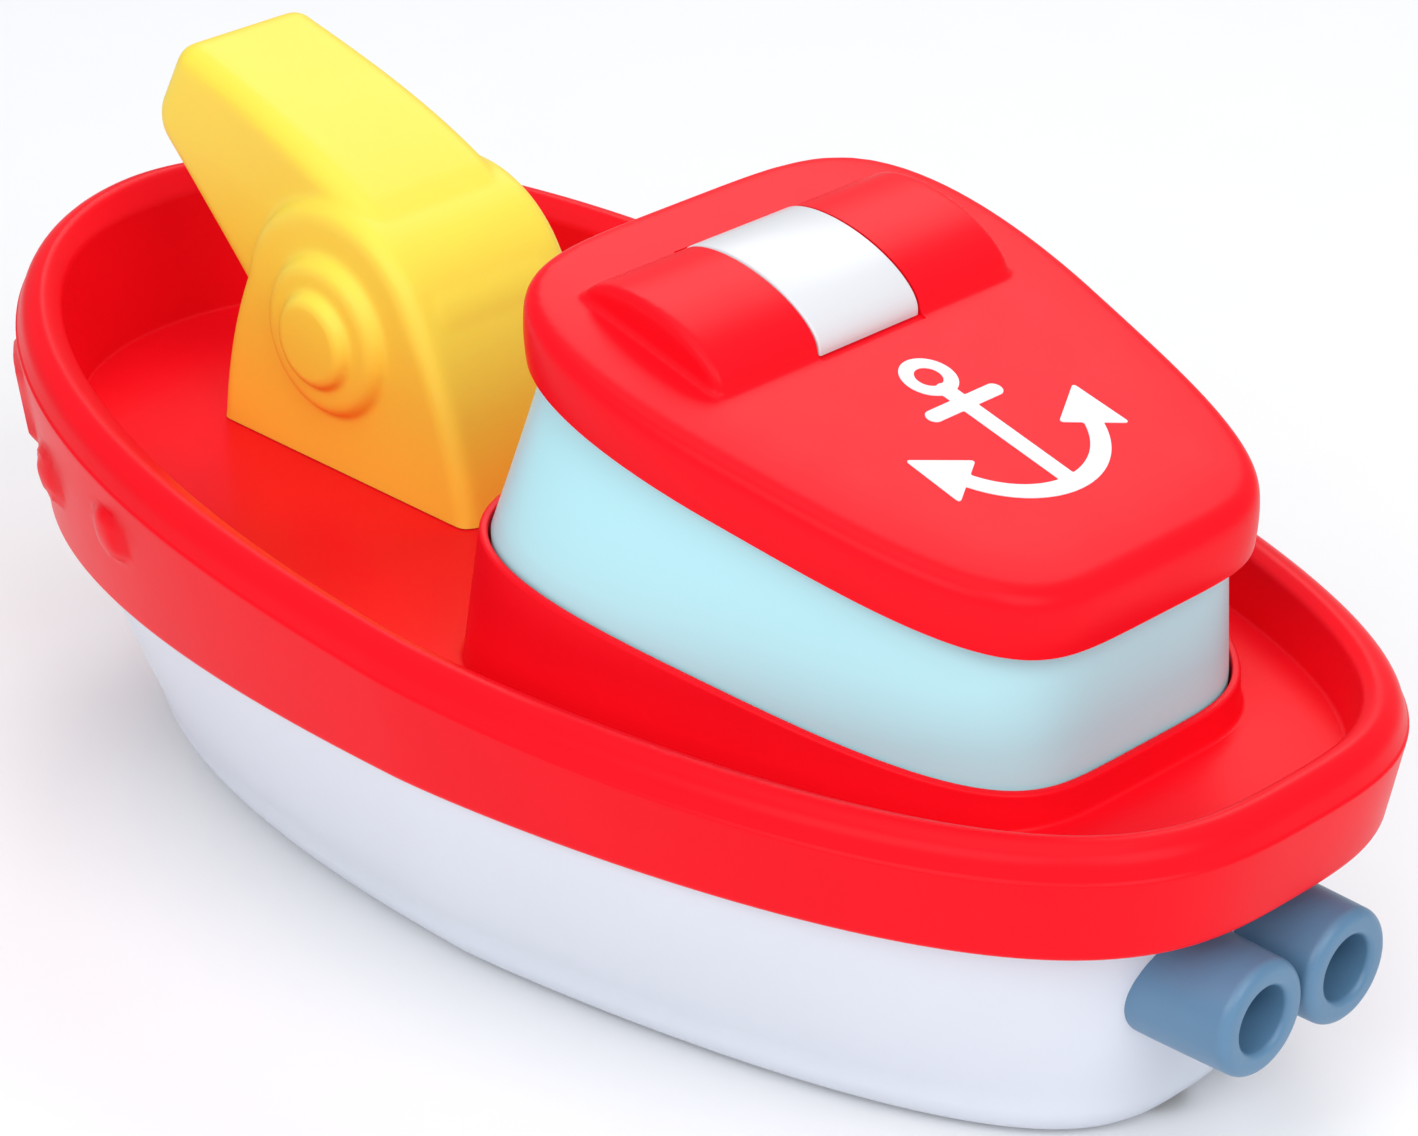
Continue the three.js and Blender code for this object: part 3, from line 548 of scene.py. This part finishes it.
# Low pads on both bows: where each is, its half sizes, how far it stands out and its face.
PADS = [
    dict(x=49.0, y=52.5, z=48.2, wide=4.4, tall=4.4, proud=1.5, kind="dome"),
    dict(x=72.0, y=45.0, z=46.0, wide=5.0, tall=5.0, proud=1.0, kind="ringed"),
    dict(x=87.5, y=37.5, z=51.2, wide=7.0, tall=6.6, proud=1.0, kind="plate"),
]


def smoothstep(low, high, value):
    t = np.clip((value - low) / (high - low), 0, 1)
    return t * t * (3 - 2 * t)


def pad_height(points):
    """How far the pads stand out at points on the skirt."""
    total = np.zeros(len(points))
    for pad in PADS:
        for side in (1, -1):
            centre = np.array([pad["x"], side * pad["y"], pad["z"]])
            away = points - centre
            across = np.hypot(away[:, 0], away[:, 1])
            s, t = across / pad["wide"], away[:, 2] / pad["tall"]
            if pad["kind"] == "plate":
                reach = (np.abs(s) ** 4 + np.abs(t) ** 4) ** 0.25
                height = 1 - smoothstep(0.84, 1.04, reach)
            else:
                reach = np.hypot(s, t)
                height = np.sqrt(np.clip(1 - reach ** 2, 0, 1)) * (1 - smoothstep(0.8, 1.0, reach))
                if pad["kind"] == "ringed":
                    height = 1 - smoothstep(0.72, 1.0, reach)
                    height += 0.75 * np.sqrt(np.clip(1 - (reach / 0.5) ** 2, 0, 1))
            total = np.maximum(total, pad["proud"] * height)
    return total


def build_deck_moulding():
    rim = outline(RIM_OUTER)
    skirt = outline(SKIRT_EDGE)
    inner = outline(RIM_INNER)
    foot = outline(CABIN_FOOT)
    plinth_foot = grow(foot, 1.7 + 0.16 * (collar_z(foot[:, 0]) - collar_z(CABIN_FOOT["stern"])))
    opening = outline(CABIN_FOOT, 0.4)
    flange = outline(HULL_TOP, -2.5)

    def crease(rise):
        return lambda x: rim_crease_z(x) + rise

    corners = [
        (ring(flange, lambda x: skirt_edge_z(x) + 2.2), 0.2),
        (ring(flange, skirt_edge_z), 0.3),
        (ring(skirt, skirt_edge_z), 0.9),
        (ring(rim, crease(-0.9)), 0.2),
        (ring(grow(rim, -0.3), crease(-0.6)), 0.2),
        (ring(grow(rim, -1.2), crease(2.3)), 1.7),
        (ring(grow(rim, -4.0), crease(3.7)), 2.0),
        (ring(inner, rim_inner_z), 0.8),
        (ring(grow(inner, -1.0), DECK_Z), 0.6),
        (ring(plinth_foot, DECK_Z), 0.7),
        (ring(grow(foot, 1.5), collar_z), 0.45),
        (ring(opening, collar_z), 0.3),
        (ring(opening, DECK_UNDER_Z), 0.3),
        (ring(outline(RIM_INNER, WALL - 1), DECK_UNDER_Z), 1.0),
        (ring(outline(RIM_INNER, WALL), lambda x: rim_inner_z(x) - 2), 0.3),
        (ring(outline(RIM_OUTER, -WALL), crease(-1)), 0.3),
        (ring(outline(SKIRT_EDGE, -WALL), lambda x: skirt_edge_z(x) + 2.2), 0.2),
    ]
    steps = 6
    rings = rounded(*zip(*corners), steps, cyclic=True)
    # The skirt's tall face, after the third corner, takes extra rings, which carry the pads.
    start = 3 * (steps + 1)
    face = []
    for level in span(rings[start - 1], rings[start], 34):
        moved = grow(level[:, :2], pad_height(level))
        face.append(np.column_stack([moved, level[:, 2]]))
    rings = rings[:start] + face + rings[start:]
    moulding = lofted("deck_moulding", rings, "hull", cyclic=True)
    spindle_hole = turned("spindle_hole", [(0, 30), (5.8, 30), (5.8, 60), (0, 60)], None, 64,
                          Matrix.Translation((CANNON_X, 0, 0)))
    cut_away(moulding, [spindle_hole])
    finish_piece(moulding, RED, ["upper_hull"])


def build_pipes():
    length, root, tip, bore = 15.5, 7.95, 7.7, 4.4
    profile = [(0, length), (root, length), (root, length - 3)]
    profile += arc(tip - 1.5, 1.5, 1.5, 0, -90, 8)
    profile += arc(bore + 0.9, 0.9, 0.9, -90, -180, 8)
    profile += [(bore, 13), (0, 13)]
    for side, name in ((1, "port"), (-1, "starboard")):
        place = along_x(0, PIPE_END_X, side * PIPE_Y, PIPE_Z)
        piece = turned(f"stern_pipe_{name}_body", profile[::-1], "hull", 96, place)
        finish_piece(piece, SLATE, [f"stern_pipe_{name}"], sharp=50)


# ---------------------------------------------------------------- cabin
def build_glazing():
    foot, head = outline(CABIN_FOOT), outline(WINDOW_HEAD)
    inner_foot, inner_head = outline(CABIN_FOOT, -2), outline(WINDOW_HEAD, -2)

    def up(rise):
        return lambda x: roof_edge_z(x) + rise

    base, collar, eaves = ring(foot, DECK_UNDER_Z), ring(foot, collar_z), ring(head, up(0))
    inner_collar, inner_eaves = ring(inner_foot, collar_z), ring(inner_head, up(0))
    rings = [
        base, *span(base, collar, 3), collar, *span(collar, eaves, 6), eaves,
        ring(head, up(5.5)), ring(inner_head, up(5.5)),
        inner_eaves, *span(inner_eaves, inner_collar, 4), inner_collar,
        ring(inner_foot, DECK_UNDER_Z),
    ]
    glazing = lofted("cabin_glazing", rings, "cabin", cyclic=True)
    finish_piece(glazing, WINDOW, ["cabin_window"], sharp=40)


def roof_frame():
    """The roof's own frame: its origin is on the roof plane at the middle of the raised bar."""
    height = roof_edge_z(BAR["x"]) + ROOF_THICKNESS
    slope = Matrix.Rotation(-math.atan(ROOF_SLOPE), 4, "Y")
    return Matrix.Translation((BAR["x"], 0, height)) @ slope


def bar_outline(spread, base, steps=60):
    """The raised bar's section in the roof's frame, grown by spread, from base upwards."""
    reach, rise = BAR["reach"] + spread, BAR["rise"] + spread
    angles = np.linspace(0, np.pi, steps)
    curve = [(reach * math.cos(a), rise * math.sin(a)) for a in angles]
    return resampled(np.array([(-reach, base), (reach, base), *curve]), 0.5)


def in_roof_frame(piece):
    piece.data.transform(Matrix.Scale(MM, 4) @ roof_frame() @ Matrix.Scale(1 / MM, 4))
    return piece


def build_roof():
    edge = outline(ROOF_EDGE)

    def above(rise):
        return lambda x: roof_edge_z(x) + rise

    inner = outline(ROOF_EDGE, -WALL)
    corners = [
        (ring(inner, above(6.2)), 0),
        (ring(inner, above(-2)), 0),
        (ring(grow(edge, -0.6), above(-2)), 0),
        (ring(edge, above(3)), 2.2),
        (ring(grow(edge, -0.3), above(ROOF_THICKNESS - 0.5)), 4.0),
        (ring(grow(edge, -7.5), above(ROOF_THICKNESS)), 4.0),
        (ring(grow(edge, -14), above(ROOF_THICKNESS)), 0),
    ]
    rings = rounded(*zip(*corners), steps=10)
    rings += flat_disc_rings(rings[-1], (0.75, 0.5, 0.25))
    cap = lofted("roof_cap", flat_disc_rings(rings[0], (0.25, 0.5, 0.75)) + rings, "cabin")
    bar = in_roof_frame(prism("bar", bar_outline(0, -4), BAR["half"], 1.0))
    solid = merge("roof_shell", [cap, bar], "cabin")
    melt(solid, 0.45, 6)
    seat = prism("seat", bar_outline(-BAR["insert_depth"] - GAP, -4), BAR["insert_half"] + 2, 0)
    recess = prism("recess", bar_outline(1.2, -GAP), BAR["insert_half"] + 0.28, 0)
    cut_away(recess, [seat])
    eaves = -(ROOF_THICKNESS + 0.15) * math.cos(math.atan(ROOF_SLOPE))
    below = prism("below", [(-80, eaves - 8), (60, eaves - 8), (60, eaves), (-80, eaves)], 60, 0)
    cut_away(solid, [in_roof_frame(recess), in_roof_frame(below)])
    finish_piece(solid, RED, ["cabin_roof"], sharp=45)

    under = prism("under", bar_outline(-BAR["insert_depth"], -4), BAR["insert_half"] + 2, 0)
    light = prism("roof_light_cover", bar_outline(0.12, -0.05), BAR["insert_half"], 0.35, "cabin")
    cut_away(light, [under])
    in_roof_frame(light)
    finish_piece(light, LIGHT, ["roof_light"], sharp=45)


def segment_distance(u, v, a, b):
    a, b = np.array(a, float), np.array(b, float)
    d = b - a
    t = np.clip(((u - a[0]) * d[0] + (v - a[1]) * d[1]) / (d @ d), 0, 1)
    return np.hypot(u - a[0] - t * d[0], v - a[1] - t * d[1])


def triangle_distance(u, v, corners):
    """Signed distance to a triangle, negative inside."""
    nearest = np.full(u.shape, np.inf)
    inside = np.ones(u.shape, bool)
    for k in range(3):
        a, b = np.array(corners[k], float), np.array(corners[(k + 1) % 3], float)
        nearest = np.minimum(nearest, segment_distance(u, v, a, b))
        inside &= (b[0] - a[0]) * (v - a[1]) - (b[1] - a[1]) * (u - a[0]) > 0
    return np.where(inside, -nearest, nearest)


def anchor_distance(u, v):
    """Signed distance to a plain ship's anchor about 26 mm tall, its ring upwards in v."""
    shapes = [
        np.abs(np.hypot(u, v - 10.2) - 2.5) - 0.85,
        segment_distance(u, v, (0, 7.6), (0, -11)) - 1.15,
        segment_distance(u, v, (-4.9, 4.9), (4.9, 4.9)) - 1.0,
    ]
    angle = np.arctan2(v - 0.5, u)
    on_arc = np.abs(angle + np.pi / 2) < np.radians(68)
    shapes.append(np.where(on_arc, np.abs(np.hypot(u, v - 0.5) - 11.6) - 1.15, 9.0))
    for side in (1, -1):
        corners = [(side * 13.4, 0.6), (side * 7.4, -2.9), (side * 13.6, -6.6)]
        shapes.append(triangle_distance(u, v, corners if side > 0 else corners[::-1]) - 0.3)
    return np.minimum.reduce(shapes)


def build_emblem():
    """A white anchor printed on the roof, cut out of a fine grid along its distance's zero line."""
    cell, reach, size, centre_x = 0.25, 16.0, 1.12, -58.6
    axis = np.arange(-reach, reach + cell, cell)
    u, v = np.meshgrid(axis, axis)
    distance = anchor_distance(u, v)
    work = bmesh.new()
    points = {}

    def vertex(key, pu, pv):
        if key not in points:
            x, y = centre_x + size * pv, -size * pu
            z = roof_edge_z(x) + ROOF_THICKNESS + 0.05
            points[key] = work.verts.new((x * MM, y * MM, z * MM))
        return points[key]

    steps = ((0, 0), (0, 1), (1, 1), (1, 0))
    for i in range(len(axis) - 1):
        for j in range(len(axis) - 1):
            corners = [(i + di, j + dj) for di, dj in steps]
            if all(distance[c] > 0 for c in corners):
                continue
            polygon = []
            for a, b in zip(corners, corners[1:] + corners[:1]):
                if distance[a] <= 0:
                    polygon.append(vertex(a, u[a], v[a]))
                if (distance[a] <= 0) != (distance[b] <= 0):
                    t = distance[a] / (distance[a] - distance[b])
                    key = (min(a, b), max(a, b))
                    polygon.append(vertex(key, u[a] + t * (u[b] - u[a]), v[a] + t * (v[b] - v[a])))
            if len(polygon) > 2:
                work.faces.new(polygon)
    mesh = bpy.data.meshes.new("roof_emblem")
    work.to_mesh(mesh)
    work.free()
    emblem = bpy.data.objects.new("roof_emblem", mesh)
    bpy.context.scene.collection.objects.link(emblem)
    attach(emblem, "cabin")
    sheet = emblem.modifiers.new("sheet", "SOLIDIFY")
    sheet.thickness = 0.12 * MM
    sheet.offset = 0
    apply_modifiers(emblem)
    finish_piece(emblem, PRINT, sharp=60)


# ---------------------------------------------------------------- cannon
def pedestal_outline(inset, low=DECK_Z - 3):
    radius = DISC_RADIUS - inset
    angles = np.linspace(0.171, 2.62, 50)
    top = [(CANNON_X + radius * math.cos(a), BOSS_Z + radius * math.sin(a)) for a in angles]
    front = bezier((73.7 - inset, low), (72.6 - inset, 56), top[0])
    rear = bezier(top[-1], (24 + inset, 60), (20.9 + inset, low))
    return resampled(np.array([(20.9 + inset, low), *front[:-1], *top, *rear[1:]]), 0.6)


def barrel_outline():
    points = [(34, 62), (60, 58), (67.4, 61.7)]
    points += bezier((87.4, 80.8), (89.7, 83.2), (88.4, 86.9))
    points += bezier((85, 93.2), (83.2, 97.1), (80, 95.8))
    points += bezier((80, 95.8), (59, 90.9), (45, 84))[1:]
    points += bezier((45, 84), (29.5, 74.5), (29.6, 67))[1:]
    return resampled(np.array(points), 0.6)


def barrel_draft(xz):
    """The barrel is widest where it meets the foot."""
    return 1 + 0.1 * smoothstep(86, 46, xz[:, 0])


def build_cannon():
    foot = prism("foot", pedestal_outline(0), CANNON_HALF, 2.5)
    barrel = prism("barrel", barrel_outline(), BARREL_HALF, 3.0, draft=barrel_draft)
    parts = [foot, barrel]
    for side in (1, -1):
        profile = [(0, -3), (11.4, -3)] + arc(9.1, 0.5, 2.3, 0, 90, 8) + [(7.2, 2.8), (6.7, 3.0)]
        profile += arc(5.2, 3.2, 1.5, 0, 90, 6) + [(0, 4.8)]
        place = Matrix.Translation((CANNON_X, side * (CANNON_HALF - 0.5), BOSS_Z))
        turn = Matrix.Rotation(-side * math.pi / 2, 4, "X")
        parts.append(turned("boss", profile, None, 72, place @ turn))
    body = merge("cannon_shell", parts, "cannon")
    melt(body, 0.45, 8)
    hollow = prism("hollow", pedestal_outline(WALL), CANNON_HALF - WALL, 0)
    sole = DECK_Z + 0.15
    below = prism("below", [(10, 30), (90, 30), (90, sole), (10, sole)], 30, 0)
    aim = along_x(MUZZLE["pitch"], MUZZLE["x"], 0, MUZZLE["z"])
    recess = turned("recess", [(0, -1.8), (5, -1.8), (5, 5), (0, 5)], None, 64, aim)
    bore = turned("bore", [(0, -40), (3.4, -40), (3.4, 3), (0, 3)], None, 48, aim)
    cut_away(body, [hollow, below, recess, bore])
    finish_piece(body, YELLOW, ["cannon_body"], sharp=50)

    tip = [(1.1, -14), (1.5, -14), (1.5, -9), (3.1, -9)] + arc(2.6, -1.7, 0.5, 0, 90, 4)
    tip += [(1.6, -1.2), (1.1, -1.7)]
    nozzle = turned("cannon_nozzle_tip", tip, "cannon", 48, aim)
    finish_piece(nozzle, SLATE, ["cannon_nozzle"])


# ---------------------------------------------------------------- underside fittings
def build_screws():
    for node in HULL_SCREWS:
        x, y, base, top = screw_place(node)
        profile = [(0, base), (1.6, base)] + arc(1.8, base + 1.2, 1.2, -90, 0, 6)
        profile += [(3.0, base + 1.5), (1, base + 1.9)]
        thread = np.arange(base + 2.4, top - 1.5, 0.5)
        for k, z in enumerate(thread):
            profile.append((1.0 if k % 2 == 0 else 0.78, z))
        profile += [(0.4, top), (0, top)]
        screw = turned(f"{node}_body", profile, "hull", 32, Matrix.Translation((x, y, 0)))
        cross = []
        for turn in (0, 1):
            blade = bmesh.new()
            bmesh.ops.create_cube(blade, size=1)
            size = (3.4, 0.7, 2.4) if turn == 0 else (0.7, 3.4, 2.4)
            bmesh.ops.scale(blade, vec=[s * MM for s in size], verts=blade.verts)
            bmesh.ops.translate(blade, vec=(x * MM, y * MM, (base - 0.3) * MM), verts=blade.verts)
            mesh = bpy.data.meshes.new("blade")
            blade.to_mesh(mesh)
            blade.free()
            cutter = bpy.data.objects.new("blade", mesh)
            bpy.context.scene.collection.objects.link(cutter)
            cross.append(cutter)
        cut_away(screw, cross)
        finish_piece(screw, STEEL, [node], sharp=30)


def build_strainer():
    low, high = (c[2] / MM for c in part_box("inlet_strainer"))
    profile = [(0, low), (6.4, low)] + arc(6.5, low + 0.5, 0.5, -90, 0, 5)
    profile += [(7.0, high), (0, high)]
    place = Matrix.Translation((PUMP_X, 0, 0))
    strainer = turned("inlet_strainer_disc", profile, "hull", 72, place)
    centres = [(0, 0)] + [(4 * math.cos(a), 4 * math.sin(a)) for a in np.arange(6) * math.pi / 3]
    hole = [(0, -1), (1.2, -1), (1.2, 4), (0, 4)]
    holes = [turned("hole", hole, None, 24, Matrix.Translation((PUMP_X + x, y, 0)))
             for x, y in centres]
    cut_away(strainer, holes)
    finish_piece(strainer, SLATE, ["inlet_strainer"])


# ---------------------------------------------------------------- carried-over parts
CARRIED = {
    "inner_white": INNER,
    "seal_rubber": RUBBER,
    "hose_clear": HOSE,
    "steel": STEEL,
    "cannon_yellow": YELLOW,
    "pipe_slate": SLATE,
}


def dress_carried_parts():
    """Gives the CAD's own meshes, where no piece replaces them, the materials of their slots."""
    slots = {part["node"]: part["material_slot"] for part in frame["record"]["subparts"]}
    for node, piece in frame["nodes"].items():
        material = CARRIED.get(slots[node])
        if material and not piece.hide_render:
            for slot in piece.material_slots:
                slot.material = material


add_camera()
add_studio()
build_hull()
build_deck_moulding()
build_pipes()
build_glazing()
build_roof()
build_emblem()
build_cannon()
build_screws()
build_strainer()
dress_carried_parts()
